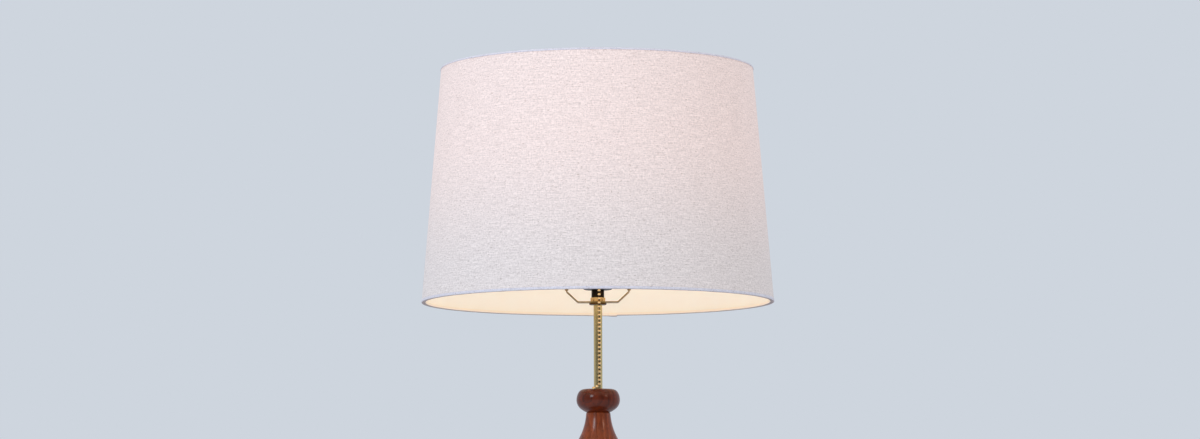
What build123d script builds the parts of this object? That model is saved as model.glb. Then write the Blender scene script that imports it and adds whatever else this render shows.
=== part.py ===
from build123d import *
from math import asin, cos, degrees, hypot, isclose, radians, sin, sqrt
import os

# Column table lamp. A turned wood base, collar, column and ball are drawn together on a
# threaded pipe. A brass stem carries a harp, a pull-chain socket and a tapered drum shade.
# Millimetres, +Z up. The origin is on the table, under the column's axis. -Y is the front.

# ---------------------------------------------------------------- clearances
RUN_FIT = 0.05          # radial, between a thread or shaft and its hole
NEST_GAP = 0.05         # between shells that are glued or slipped one in another
FREE_GAP = 0.3          # between curved faces that pass each other freely
WOOD_FIT = 0.5          # radial, between the pipe and the wood that it passes through

# ---------------------------------------------------------------- foot
FELT_T = 3.0
FELT_INSET = 2.0        # from the base's edge
BASE_R = 90.0
BASE_H = 38.0
BASE_EDGE_H = 20.0      # height of the upright edge
BASE_ROUND = 2.5
BASE_STEP_IN = 8.0      # from the edge to the foot of the scotia
BASE_STEP_H = 2.5
BASE_SCOTIA_BOW = 4.0
BASE_TOP_R = 41.0
CAVITY_R = 62.0
CAVITY_H = 18.0
COLLAR_R = 38.5
COLLAR_H = 20.0
COLLAR_END_R = 32.0
WEIGHT_R = 58.0
WEIGHT_HOLE_R = 20.0
WEIGHT_T = 12.0
WEIGHT_SLOT_W = 14.0    # lets the supply lead in from the back
WEIGHT_SCREWS = 3
WEIGHT_SCREW_PCR = 38.0
WEIGHT_SCREW_R = 1.75
WEIGHT_SCREW_L = 22.0
WEIGHT_SCREW_HEAD_R = 4.0
WEIGHT_SCREW_HEAD_T = 2.4
INLET_Z = 12.5          # height of the lead's way in at the back
INLET_BORE_R = 3.6
INLET_BODY_R = 4.8
INLET_L = 16.0
INLET_FLANGE_R = 6.8
INLET_FLANGE_T = 1.8
SPOTFACE_DEPTH = 1.2

# ---------------------------------------------------------------- column and ball
COLUMN_H = 392.2
COLUMN_FOOT_R = 31.0
COLUMN_FOOT_LIP = 4.0
COLUMN_WAIST_R = 28.0
COLUMN_WAIST_H = 18.0   # above the column's foot
SHOULDER_R = 43.4
SHOULDER_DROP = 73.2    # below the column's top
NECK_FLARE_R = 31.8
NECK_FLARE_DROP = 43.1
NECK_R = 14.0
NECK_TOP_R = 12.9
NECK_ROUND_H = 1.2
BALL_R = 25.0
BALL_H = 26.8

# ---------------------------------------------------------------- pipe and stem
THREAD_R = 4.7
PIPE_BORE_R = 3.4
PIPE_TAIL = 5.4         # below the base nut
BASE_NUT_AF = 17.0
BASE_NUT_T = 6.0
BASE_WASHER_R = 16.0
BASE_WASHER_T = 1.6
COUPLING_R = 7.0
COUPLING_L = 24.0
COUPLING_RISE = 14.8    # above the column's top, inside the ball
JOINT_GAP = 1.0         # between the pipe's end and the stem's end, in the coupling
STEM_R = 5.0
STEM_BORE_R = 3.6
STEM_SHOW = 97.0        # above the ball

# ---------------------------------------------------------------- saddle, nut and harp
SEAT_RING_R = 10.0
SEAT_RING_T = 2.4
SEAT_RING_ROUND = 1.2
SADDLE_T = 1.5
SADDLE_W = 13.0
SADDLE_FLAT = 23.0      # half the flat length
SADDLE_HALF = 36.0      # half the distance between the posts
SADDLE_RISE = 12.0      # of the sloping arms
SADDLE_LUG = 3.2        # upright end above the slope
SADDLE_BEND_R = 3.0
POST_H = 8.4
SADDLE_NUT_AF = 14.7
SADDLE_NUT_T = 4.5
HARP_H = 254.0          # from the saddle to the shade's seat
HARP_HALF = 61.0        # half the greatest width
HARP_WIRE_R = 2.0
HARP_TOP_HALF = 16.0    # half the top, between the corners of its bends
FERRULE_R = 3.6
FERRULE_L = 16.0
STUD_COLLAR_R = 5.0
STUD_COLLAR_DROP = 11.0  # below the shade's seat
STUD_RISE = 6.0          # of the shade's seat above the harp's wire
STUD_THREAD_R = 3.05
STUD_THREAD_L = 13.0

# ---------------------------------------------------------------- socket
CAP_R = 17.6
CAP_WALL = 0.8
CAP_FLOOR_T = 1.2
CAP_H = 14.4
CAP_ROUND = 3.0
CAP_NECK_R = 7.35
CAP_NECK_H = 9.2
CAP_SCREW_R = 1.5
CAP_SCREW_HEAD_R = 2.6
CAP_SCREW_HEAD_T = 2.0
SHELL_R = 16.6
SHELL_WALL = 0.65
SHELL_LIFT = 2.4        # above the cap's floor
SHELL_H = 58.0
SHELL_BEAD = 0.8
SLEEVE_WALL = 0.8
SLEEVE_H = 57.0
SWITCH_R = 14.2
SWITCH_H = 33.0
SWITCH_FLAT = 11.0      # from the axis to the flats that carry the terminals
SWITCH_SLOT_SPARE = 1.7  # round the chain's lug
SWITCH_SLOT_FLOOR = 11.0
TERMINAL_HEAD_R = 2.8
TERMINAL_HEAD_T = 2.2
TERMINAL_SHANK_R = 1.6
TERMINAL_SHANK_L = 5.0
TERMINAL_RISE = 8.0
SCREW_SHELL_WALL = 0.7
SCREW_SHELL_H = 24.0
CONTACT_R = 4.0
CONTACT_T = 1.0
GUIDE_R = 2.7
GUIDE_BORE_R = 2.2
GUIDE_LIP_R = 3.2
GUIDE_LIP_T = 0.9
GUIDE_L = 6.5
GUIDE_HOLE_SPARE = 6.0  # of the hole through the socket's walls, past the guide's ends

# ---------------------------------------------------------------- pull chain
PULL_ANGLE = 50.0       # of the pull from straight down, towards the front
PULL_TRAVEL = 8.0
CHAIN_X = 1.5
CHAIN_Y = -21.2
CHAIN_BEND_RISE = 17.4  # of the bend above the socket's underside
BEAD_R = 1.7
BEAD_PITCH = 4.67
LINK_R = 0.5
CHAIN_END_X = -5.4
CHAIN_END_SLOPE_H = 3.0
CHAIN_LUG_R = 2.0
CHAIN_LUG_L = 3.0

# ---------------------------------------------------------------- bulb
BULB_BASE_R = 13.0
BULB_BASE_H = 21.5
BULB_CUFF_H = 3.0       # of the base's rim that grips the glass
BULB_TIP_R = 4.6
BULB_TIP_H = 2.8
BULB_INSULATOR_R = 11.8
BULB_INSULATOR_H = 2.2
BULB_R = 30.0
BULB_GLASS_H = 86.0
BULB_GLASS_T = 1.0
BULB_NECK_R = 12.6
BULB_NECK_H = 7.0

# ---------------------------------------------------------------- shade
SHADE_R = 202.7         # fabric's outer face at the bottom rim
SHADE_TOP_R = 180.3
SHADE_H = 271.5
SHADE_RECESS = 17.7     # of the seat below the top rim
FABRIC_T = 0.6
LINER_T = 0.8
TRIM_T = 0.5
TRIM_H = 4.0
TRIM_INNER_H = 3.2
RIM_WIRE_R = 1.3
LAP_W = 10.0
LAP_T = 0.4
LAP_TURN = 6.5          # of the seam from the back, towards +X, in degrees
SPIDER_ARMS = 3
SPIDER_ARM_R = 1.3
SPIDER_WASHER_R = 15.0
SPIDER_WASHER_T = 1.6
SPIDER_ROOT_IN = 3.0    # of an arm's root, inside the washer's edge
SPIDER_BEND_IN = 20.0   # from the rim to where an arm turns up
SPIDER_BEND_R = 12.0

# ---------------------------------------------------------------- finial
FINIAL_H = 32.0
FINIAL_BASE_R = 9.5
FINIAL_BASE_T = 2.6
FINIAL_NECK_R = 5.9
FINIAL_KNOB_R = 9.5
INSERT_WALL = 1.3
INSERT_SPARE = 0.6      # of the insert and the knob's bore above the stud

# ---------------------------------------------------------------- heights, from the table up
BASE_Z = FELT_T
CAVITY_TOP = BASE_Z + CAVITY_H
COLLAR_Z = BASE_Z + BASE_H
COLUMN_Z = COLLAR_Z + COLLAR_H
BALL_Z = COLUMN_Z + COLUMN_H
BALL_TOP = BALL_Z + BALL_H
COUPLING_TOP = BALL_Z + COUPLING_RISE
COUPLING_Z = COUPLING_TOP - COUPLING_L
STEM_FOOT = COUPLING_Z + COUPLING_L / 2
STEM_SHOULDER = BALL_TOP + STEM_SHOW
SADDLE_Z = STEM_SHOULDER + SEAT_RING_T
SADDLE_NUT_Z = SADDLE_Z + SADDLE_T
CAP_NECK_Z = SADDLE_NUT_Z + SADDLE_NUT_T
CAP_Z = CAP_NECK_Z + CAP_NECK_H
CAP_FLOOR = CAP_Z + CAP_FLOOR_T
STEM_TOP = CAP_FLOOR
LUG_TOP = SADDLE_Z + SADDLE_T / 2 + SADDLE_RISE + SADDLE_LUG
POST_TOP = LUG_TOP + POST_H
SWITCH_TOP = CAP_FLOOR + SWITCH_H
SCREW_SHELL_FLOOR = SWITCH_TOP + SCREW_SHELL_WALL
CONTACT_TOP = SCREW_SHELL_FLOOR + CONTACT_T
BULB_INSULATOR_Z = CONTACT_TOP + BULB_TIP_H - BULB_INSULATOR_H
BULB_BASE_Z = CONTACT_TOP + BULB_TIP_H
BULB_GLASS_Z = BULB_BASE_Z + BULB_BASE_H
SEAT_Z = SADDLE_Z + HARP_H
HARP_TOP = SEAT_Z - STUD_RISE - HARP_WIRE_R
FINIAL_Z = SEAT_Z + SPIDER_WASHER_T
SHADE_TOP = SEAT_Z + SHADE_RECESS
SHADE_Z = SHADE_TOP - SHADE_H

# ---------------------------------------------------------------- radii that follow others
PIPE_HOLE_R = THREAD_R + WOOD_FIT
THREAD_HOLE_R = THREAD_R + RUN_FIT
COUPLING_HOLE_R = COUPLING_R + NEST_GAP
SHELL_BORE_R = SHELL_R - SHELL_WALL
SLEEVE_R = SHELL_BORE_R - NEST_GAP
SLEEVE_BORE_R = SLEEVE_R - SLEEVE_WALL
SCREW_SHELL_BORE_R = BULB_BASE_R + FREE_GAP
FERRULE_BORE_R = HARP_WIRE_R + FREE_GAP
WALL_T = FABRIC_T + NEST_GAP + LINER_T
WIRE_IN = WALL_T + NEST_GAP + RIM_WIRE_R        # from the fabric's face to the wire's middle
TRIM_IN = WIRE_IN + RIM_WIRE_R + NEST_GAP       # from the fabric's face to the trim's inner leg
INSERT_R = STUD_THREAD_R + RUN_FIT + INSERT_WALL
SHADE_SLOPE = (SHADE_R - SHADE_TOP_R) / SHADE_H

CORNER = 0.29           # an arc this share of its size out of its chord rounds a square corner
EDGE_BREAK = 0.6        # small rounding on turned hardware
SMOOTH = "smooth"       # in an outline: an arc that carries on from the edge before it


# ---------------------------------------------------------------- ways of making a piece
def turned(outline, sweep_angle=360.0):
    """A solid turned about +Z from a closed outline of (radius, height) points.

    The outline runs along the bottom, up the outside and back down the inside. A third
    value shapes the edge that arrives at its point: a number is an arc that stands that
    far out of the solid, or into it if negative, and SMOOTH is a tangent arc.
    """
    return revolve(Face(Wire(outline_edges(outline))), Axis.Z, sweep_angle)


def outline_edges(outline):
    edges = []
    for here, there in zip(outline, outline[1:] + outline[:1]):
        start = Vector(here[0], 0, here[1])
        end = Vector(there[0], 0, there[1])
        shape = there[2] if len(there) == 3 else 0
        if shape == SMOOTH:
            edges.append(TangentArc(start, end, tangent=edges[-1] % 1))
        elif shape:
            run = end - start
            outward = Vector(run.Z, 0, -run.X).normalized()
            edges.append(ThreePointArc(start, (start + end) / 2 + outward * shape, end))
        else:
            edges.append(Line(start, end))
    return edges


def tube(outer_r, inner_r, low, high):
    return turned([(inner_r, low), (outer_r, low), (outer_r, high), (inner_r, high)])


def rod(start, end, radius):
    """A round bar from one point to another."""
    start, end = Vector(*start), Vector(*end)
    run = end - start
    return Part(Solid.make_cylinder(radius, run.length, Plane(start, z_dir=run)).wrapped)


def hex_nut(across_flats, hole_r, low, thickness):
    outline = RegularPolygon(across_flats / 2, 6, major_radius=False) - Circle(hole_r)
    return extrude(Pos(0, 0, low) * outline, thickness)


def bent_wire(corners, bends, radius):
    """A round wire along corners in the XZ plane, with a bend radius at each inner corner."""
    path = FilletPolyline(*[(x, 0, z) for x, z in corners], radius=bends)
    section = Plane(path @ 0, z_dir=path % 0) * Circle(radius)
    return sweep(section, path=path)


# ---------------------------------------------------------------- foot
def felt_pad():
    return tube(BASE_R - FELT_INSET, 0, 0, FELT_T)


def base_disc():
    edge_top = BASE_Z + BASE_EDGE_H
    scotia_foot_r = BASE_R - BASE_STEP_IN
    disc = turned([
        (PIPE_HOLE_R, CAVITY_TOP),
        (CAVITY_R, CAVITY_TOP),
        (CAVITY_R, BASE_Z),
        (BASE_R - BASE_ROUND, BASE_Z),
        (BASE_R, BASE_Z + BASE_ROUND, CORNER * BASE_ROUND),
        (BASE_R, edge_top - BASE_ROUND),
        (BASE_R - BASE_ROUND, edge_top, CORNER * BASE_ROUND),
        (scotia_foot_r, edge_top),
        (scotia_foot_r, edge_top + BASE_STEP_H),
        (BASE_TOP_R, COLLAR_Z - 2 * BASE_ROUND, -BASE_SCOTIA_BOW),
        (BASE_TOP_R, COLLAR_Z - BASE_ROUND),
        (BASE_TOP_R - BASE_ROUND, COLLAR_Z, CORNER * BASE_ROUND),
        (PIPE_HOLE_R, COLLAR_Z),
    ])
    disc -= rod((0, CAVITY_R / 2, INLET_Z), (0, BASE_R + 1, INLET_Z), INLET_BODY_R + NEST_GAP)
    disc -= rod((0, BASE_R - SPOTFACE_DEPTH, INLET_Z), (0, BASE_R + 1, INLET_Z),
                INLET_FLANGE_R + FREE_GAP)
    for place in weight_screw_places():
        disc -= place * rod((0, 0, CAVITY_TOP - 1), (0, 0, weight_screw_tip() + 1),
                            WEIGHT_SCREW_R + RUN_FIT)
    return disc


def weight_screw_places():
    return [Rot(0, 0, 30 + 360 * k / WEIGHT_SCREWS) * Pos(WEIGHT_SCREW_PCR, 0, 0)
            for k in range(WEIGHT_SCREWS)]


def weight_screw_tip():
    return CAVITY_TOP - WEIGHT_T + WEIGHT_SCREW_L


def iron_weight():
    low = CAVITY_TOP - WEIGHT_T
    plate = tube(WEIGHT_R, WEIGHT_HOLE_R, low, CAVITY_TOP)
    plate -= Pos(0, WEIGHT_R / 2 + WEIGHT_HOLE_R / 2, low + WEIGHT_T / 2) * Box(
        WEIGHT_SLOT_W, WEIGHT_R, WEIGHT_T + 2)
    for place in weight_screw_places():
        plate -= place * rod((0, 0, low - 1), (0, 0, CAVITY_TOP + 1), WEIGHT_SCREW_R + FREE_GAP)
    return plate


def weight_screws():
    low = CAVITY_TOP - WEIGHT_T
    head = WEIGHT_SCREW_HEAD_T
    screw = turned([
        (0, low - head),
        (WEIGHT_SCREW_HEAD_R - 0.8, low - head),
        (WEIGHT_SCREW_HEAD_R, low - head + 0.8, 0.23),
        (WEIGHT_SCREW_HEAD_R, low),
        (WEIGHT_SCREW_R, low),
        (WEIGHT_SCREW_R, weight_screw_tip() - 3),
        (0, weight_screw_tip()),
    ])
    return Compound(children=[place * screw for place in weight_screw_places()])


def cord_bushing():
    """A flanged bush that the supply lead enters through, pointing back along +Y."""
    face = BASE_R - SPOTFACE_DEPTH
    bush = turned([
        (INLET_BORE_R, -INLET_L),
        (INLET_BODY_R, -INLET_L),
        (INLET_BODY_R, 0),
        (INLET_FLANGE_R, 0),
        (INLET_FLANGE_R, INLET_FLANGE_T - 0.6),
        (INLET_FLANGE_R - 0.6, INLET_FLANGE_T, 0.17),
        (INLET_BORE_R, INLET_FLANGE_T),
    ])
    return Pos(0, face, INLET_Z) * Rot(-90, 0, 0) * bush


def base_washer():
    return tube(BASE_WASHER_R, THREAD_HOLE_R, CAVITY_TOP - BASE_WASHER_T, CAVITY_TOP)


def base_nut():
    low = CAVITY_TOP - BASE_WASHER_T - BASE_NUT_T
    return hex_nut(BASE_NUT_AF, THREAD_HOLE_R, low, BASE_NUT_T)


def threaded_pipe():
    low = CAVITY_TOP - BASE_WASHER_T - BASE_NUT_T - PIPE_TAIL
    return tube(THREAD_R, PIPE_BORE_R, low, STEM_FOOT - JOINT_GAP)


# ---------------------------------------------------------------- turned wood
def foot_collar():
    bulge = COLLAR_R - COLLAR_END_R
    return turned([
        (PIPE_HOLE_R, COLLAR_Z),
        (COLLAR_END_R, COLLAR_Z),
        (COLLAR_END_R, COLUMN_Z, bulge),
        (PIPE_HOLE_R, COLUMN_Z),
    ])


def column():
    waist_z = COLUMN_Z + COLUMN_WAIST_H
    shoulder_z = BALL_Z - SHOULDER_DROP
    taper_h = shoulder_z - waist_z
    # the long taper's arc ends upright at the shoulder
    taper_bow = (SHOULDER_R - COLUMN_WAIST_R) / 4
    neck_round_r = NECK_R - NECK_TOP_R
    return turned([
        (PIPE_HOLE_R, COLUMN_Z),
        (COLUMN_FOOT_R, COLUMN_Z),
        (COLUMN_FOOT_R, COLUMN_Z + COLUMN_FOOT_LIP),
        (COLUMN_WAIST_R, waist_z, -0.05 * COLUMN_WAIST_H),
        (SHOULDER_R, waist_z + taper_h, taper_bow),
        (NECK_FLARE_R, BALL_Z - NECK_FLARE_DROP, SMOOTH),
        (NECK_R, BALL_Z - NECK_ROUND_H, SMOOTH),
        (NECK_R - neck_round_r, BALL_Z, 0.2 * NECK_ROUND_H),
        (COUPLING_HOLE_R, BALL_Z),
        (COUPLING_HOLE_R, COUPLING_Z - JOINT_GAP),
        (PIPE_HOLE_R, COUPLING_Z - JOINT_GAP),
    ])


def ball_outline():
    return [
        (COUPLING_HOLE_R, BALL_Z),
        (0.52 * BALL_R, BALL_Z),
        (0.808 * BALL_R, BALL_Z + 0.164 * BALL_H, 0.011 * BALL_R),
        (BALL_R, BALL_Z + 0.54 * BALL_H, SMOOTH),
        (0.916 * BALL_R, BALL_Z + 0.85 * BALL_H, SMOOTH),
        (0.70 * BALL_R, BALL_TOP, SMOOTH),
        (STEM_R + NEST_GAP, BALL_TOP),
        (STEM_R + NEST_GAP, COUPLING_TOP),
        (COUPLING_HOLE_R, COUPLING_TOP),
    ]


def wood_ball():
    return turned(ball_outline())


def height_on_ball(x, y, radius):
    """The height of a small ball's middle where it rests on the wood ball's upper edge."""
    edge = next(e for e in outline_edges(ball_outline()) if isclose((e @ 1).Z, BALL_TOP))
    middle = edge.arc_center
    reach = edge.radius + radius
    return middle.Z + sqrt(reach ** 2 - (hypot(x, y) - middle.X) ** 2)


# ---------------------------------------------------------------- stem
def pipe_coupling():
    return tube(COUPLING_R, THREAD_HOLE_R, COUPLING_Z, COUPLING_TOP)


def stem_tube():
    return turned([
        (STEM_BORE_R, STEM_FOOT),
        (THREAD_R, STEM_FOOT),
        (THREAD_R, COUPLING_TOP),
        (STEM_R, COUPLING_TOP),
        (STEM_R, STEM_SHOULDER),
        (THREAD_R, STEM_SHOULDER),
        (THREAD_R, STEM_TOP),
        (STEM_BORE_R, STEM_TOP),
    ])


def seat_ring():
    return turned([
        (THREAD_HOLE_R, STEM_SHOULDER),
        (SEAT_RING_R - SEAT_RING_ROUND, STEM_SHOULDER),
        (SEAT_RING_R, STEM_SHOULDER + SEAT_RING_ROUND, CORNER * SEAT_RING_ROUND),
        (SEAT_RING_R, SADDLE_Z),
        (THREAD_HOLE_R, SADDLE_Z),
    ])


# ---------------------------------------------------------------- harp
def harp_saddle():
    """A bent strip through the stem's top, with a round post at each end for the harp."""
    middle = SADDLE_Z + SADDLE_T / 2
    slope_top = middle + SADDLE_RISE
    half = [(SADDLE_FLAT, middle), (SADDLE_HALF, slope_top), (SADDLE_HALF, LUG_TOP)]
    corners = [(-x, z) for x, z in reversed(half)] + half
    path = FilletPolyline(*[(x, z) for x, z in corners], radius=SADDLE_BEND_R)
    strip = extrude(Plane.XZ * trace(path, SADDLE_T), SADDLE_W / 2, both=True)
    strip -= rod((0, 0, SADDLE_Z - 1), (0, 0, SADDLE_Z + SADDLE_T + 1), THREAD_HOLE_R)
    for side in (-1, 1):
        foot = (side * SADDLE_HALF, 0, LUG_TOP - SADDLE_LUG / 2)
        strip += rod(foot, (side * SADDLE_HALF, 0, POST_TOP), HARP_WIRE_R)
    return strip


def saddle_nut():
    return hex_nut(SADDLE_NUT_AF, THREAD_HOLE_R, SADDLE_NUT_Z, SADDLE_NUT_T)


def harp_bow():
    bow_h = HARP_TOP - POST_TOP
    half = [
        (SADDLE_HALF, POST_TOP),
        (SADDLE_HALF, POST_TOP + 0.16 * bow_h),
        (1.02 * HARP_HALF, POST_TOP + 0.40 * bow_h),
        (0.95 * HARP_HALF, POST_TOP + 0.73 * bow_h),
        (0.56 * HARP_HALF, POST_TOP + 0.95 * bow_h),
        (HARP_TOP_HALF, HARP_TOP),
    ]
    corners = half + [(-x, z) for x, z in reversed(half)]
    bends = [share * bow_h for share in (0.18, 0.38, 0.50, 0.16, 0.15)]
    return bent_wire(corners, bends + bends[::-1], HARP_WIRE_R)


def harp_stud():
    low = SEAT_Z - STUD_COLLAR_DROP
    stud = turned([
        (0, low),
        (STUD_COLLAR_R - 0.8, low),
        (STUD_COLLAR_R, low + 0.8, 0.23),
        (STUD_COLLAR_R, SEAT_Z),
        (STUD_THREAD_R, SEAT_Z),
        (STUD_THREAD_R, SEAT_Z + STUD_THREAD_L - 0.8),
        (STUD_THREAD_R - 0.8, SEAT_Z + STUD_THREAD_L),
        (0, SEAT_Z + STUD_THREAD_L),
    ])
    reach = STUD_COLLAR_R + 1
    return stud - rod((-reach, 0, HARP_TOP), (reach, 0, HARP_TOP), HARP_WIRE_R + NEST_GAP)


def ferrule(side):
    high = LUG_TOP + FERRULE_L
    sleeve = turned([
        (FERRULE_BORE_R, LUG_TOP),
        (FERRULE_R, LUG_TOP),
        (FERRULE_R, high - 0.8),
        (FERRULE_R - 0.8, high, 0.23),
        (FERRULE_BORE_R, high),
    ])
    return Pos(side * SADDLE_HALF, 0, 0) * sleeve


# ---------------------------------------------------------------- socket
def socket_cap():
    inner_r = CAP_R - CAP_WALL
    inner_round = CAP_ROUND - CAP_WALL
    top = CAP_Z + CAP_H
    return turned([
        (THREAD_HOLE_R, CAP_NECK_Z),
        (CAP_NECK_R, CAP_NECK_Z),
        (CAP_NECK_R, CAP_Z),
        (CAP_R - CAP_ROUND, CAP_Z),
        (CAP_R, CAP_Z + CAP_ROUND, CORNER * CAP_ROUND),
        (CAP_R, top),
        (inner_r, top),
        (inner_r, CAP_FLOOR + inner_round),
        (inner_r - inner_round, CAP_FLOOR, -CORNER * inner_round),
        (THREAD_HOLE_R, CAP_FLOOR),
    ]) - cap_screw_hole()


def cap_screw_hole():
    z = CAP_NECK_Z + CAP_NECK_H / 2
    return rod((0, 0, z), (0, CAP_NECK_R + 1, z), CAP_SCREW_R + RUN_FIT)


def cap_screw():
    """The set screw in the back of the cap's neck, which bears on the stem's thread."""
    shank = CAP_NECK_R - THREAD_HOLE_R
    screw = turned([
        (0, 0),
        (CAP_SCREW_R, 0),
        (CAP_SCREW_R, shank),
        (CAP_SCREW_HEAD_R, shank),
        (CAP_SCREW_HEAD_R, shank + CAP_SCREW_HEAD_T - 0.6),
        (CAP_SCREW_HEAD_R - 0.6, shank + CAP_SCREW_HEAD_T, 0.17),
        (0, shank + CAP_SCREW_HEAD_T),
    ])
    return Pos(0, THREAD_HOLE_R, CAP_NECK_Z + CAP_NECK_H / 2) * Rot(-90, 0, 0) * screw


def guide_hole():
    """The chain's way out through the socket's walls, wide enough for its guide."""
    inner_end = chain_point(guide_lip() + GUIDE_L + GUIDE_HOLE_SPARE)
    return rod(inner_end, chain_point(-GUIDE_HOLE_SPARE), GUIDE_R + NEST_GAP)


def socket_shell():
    low = CAP_FLOOR + SHELL_LIFT
    top = low + SHELL_H
    shell = turned([
        (SHELL_BORE_R, low),
        (SHELL_R, low),
        (SHELL_R, top - 2 * SHELL_BEAD),
        (SHELL_R, top, SHELL_BEAD * 0.75),
        (SHELL_BORE_R, top),
    ])
    return shell - guide_hole()


def socket_sleeve():
    low = CAP_FLOOR + SHELL_LIFT
    return tube(SLEEVE_R, SLEEVE_BORE_R, low, low + SLEEVE_H) - guide_hole()


def switch_body():
    """The moulded interior that the switch, the terminals and the screw shell are built on."""
    body = tube(SWITCH_R, 0, CAP_FLOOR, SWITCH_TOP)
    flat_w = SWITCH_R - SWITCH_FLAT + 1
    flat_h = 2 * TERMINAL_RISE + TERMINAL_HEAD_R
    for side in (-1, 1):
        body -= Pos(side * (SWITCH_FLAT + flat_w / 2), 0, CAP_FLOOR + flat_h / 2) * Box(
            flat_w, 2 * SWITCH_R, flat_h)
        body -= rod((side * (SWITCH_FLAT - TERMINAL_SHANK_L - 0.5), 0, CAP_FLOOR + TERMINAL_RISE),
                    (side * (SWITCH_R + 1), 0, CAP_FLOOR + TERMINAL_RISE),
                    TERMINAL_SHANK_R + RUN_FIT)
    slot_r = CHAIN_LUG_R + SWITCH_SLOT_SPARE
    _, slot_back, slot_top = chain_point(chain_inside() + CHAIN_LUG_L)
    slot_d = SWITCH_R + 1 + slot_back + SWITCH_SLOT_SPARE
    slot_h = slot_top + slot_r / 2 - CAP_FLOOR - SWITCH_SLOT_FLOOR
    body -= Pos(CHAIN_X, slot_back + SWITCH_SLOT_SPARE - slot_d / 2,
                CAP_FLOOR + SWITCH_SLOT_FLOOR + slot_h / 2) * Box(2 * slot_r, slot_d, slot_h)
    return body


def terminal_screws():
    screw = turned([
        (0, -TERMINAL_SHANK_L),
        (TERMINAL_SHANK_R, -TERMINAL_SHANK_L),
        (TERMINAL_SHANK_R, 0),
        (TERMINAL_HEAD_R, 0),
        (TERMINAL_HEAD_R, TERMINAL_HEAD_T - 0.6),
        (TERMINAL_HEAD_R - 0.6, TERMINAL_HEAD_T, 0.17),
        (0, TERMINAL_HEAD_T),
    ])
    place = Pos(SWITCH_FLAT, 0, CAP_FLOOR + TERMINAL_RISE) * Rot(0, 90, 0)
    return Compound(children=[place * screw, Rot(0, 0, 180) * place * screw])


def screw_shell():
    outer_r = SCREW_SHELL_BORE_R + SCREW_SHELL_WALL
    return turned([
        (CONTACT_R + 2.0, SWITCH_TOP),
        (outer_r, SWITCH_TOP),
        (outer_r, SWITCH_TOP + SCREW_SHELL_H),
        (SCREW_SHELL_BORE_R, SWITCH_TOP + SCREW_SHELL_H),
        (SCREW_SHELL_BORE_R, SCREW_SHELL_FLOOR),
        (CONTACT_R + 2.0, SCREW_SHELL_FLOOR),
    ])


def centre_contact():
    return tube(CONTACT_R, 0, SWITCH_TOP, CONTACT_TOP)


def chain_guide():
    """The short tube in the socket's side that the chain runs out through."""
    tail = GUIDE_L
    guide = turned([
        (GUIDE_BORE_R, 0),
        (GUIDE_R, 0),
        (GUIDE_R, tail - GUIDE_LIP_T),
        (GUIDE_LIP_R, tail - GUIDE_LIP_T),
        (GUIDE_LIP_R, tail, 0.4),
        (GUIDE_BORE_R, tail),
    ])
    inner_end = Vector(*chain_point(guide_lip() + GUIDE_L))
    return Plane(inner_end, z_dir=pull_direction()) * guide


# ---------------------------------------------------------------- pull chain
def pull_direction():
    return Vector(0, -sin(radians(PULL_ANGLE)), -cos(radians(PULL_ANGLE)))


def guide_lip():
    """How far behind the chain's bend the guide's lip is."""
    return BEAD_R + FREE_GAP


def chain_point(behind):
    """A point on the line that the chain leaves the socket by, behind its bend."""
    back = -pull_direction() * behind
    return (CHAIN_X, CHAIN_Y + back.Y, CAP_Z + CHAIN_BEND_RISE + back.Z)


def chain_inside():
    """Length behind the bend, so that the lug stays behind the guide at full pull."""
    return guide_lip() + GUIDE_L + PULL_TRAVEL


def chain_route():
    last_z = height_on_ball(CHAIN_END_X, CHAIN_Y, BEAD_R + FREE_GAP)
    return [
        Vector(*chain_point(chain_inside())),
        Vector(*chain_point(0)),
        Vector(CHAIN_X, CHAIN_Y, last_z + CHAIN_END_SLOPE_H),
        Vector(CHAIN_END_X, CHAIN_Y, last_z),
    ]


def bead_places():
    """Points one pitch apart along the chain's route, the last at its end."""
    route = chain_route()[::-1]
    places, walked, reached = [], 0.0, 0.0
    for start, end in zip(route, route[1:]):
        run = end - start
        while walked <= reached + run.length:
            places.append(start + run * ((walked - reached) / run.length))
            walked += BEAD_PITCH
        reached += run.length
    return places


def bead_chain():
    places = bead_places()
    # each ball's poles lie along Y, clear of the links
    beads = [Pos(place) * Rot(90, 0, 0) * Sphere(BEAD_R) for place in places]
    ends = places + [Vector(*chain_point(chain_inside()))]
    links = [rod(a, b, LINK_R) for a, b in zip(ends, ends[1:]) if (b - a).length > 0.1]
    return beads[0] + beads[1:] + links


def chain_lug():
    """The switch's pull lug, which the chain's inner end is fixed to."""
    return rod(chain_point(chain_inside()), chain_point(chain_inside() + CHAIN_LUG_L), CHAIN_LUG_R)


# ---------------------------------------------------------------- bulb
def bulb_side(inset):
    """The bulb's side, from its neck up to its top, in from the glass's outer face."""
    globe_z = BULB_GLASS_Z + BULB_GLASS_H - BULB_R
    leave = radians(38)
    return [
        (BULB_NECK_R - inset, BULB_GLASS_Z + BULB_NECK_H),
        ((BULB_R - inset) * cos(leave), globe_z - (BULB_R - inset) * sin(leave), -2.2),
        (BULB_R - inset, globe_z, (BULB_R - inset) * (1 - cos(leave / 2))),
        (0, globe_z + BULB_R - inset, SMOOTH),
    ]


def bulb_glass():
    outside = bulb_side(0)
    inside = bulb_side(BULB_GLASS_T)
    inner_up = turned([(0, BULB_GLASS_Z - 1), (BULB_NECK_R - BULB_GLASS_T, BULB_GLASS_Z - 1)]
                      + inside)
    outer = turned([(0, BULB_GLASS_Z), (BULB_NECK_R, BULB_GLASS_Z)] + outside)
    return outer - inner_up


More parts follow.
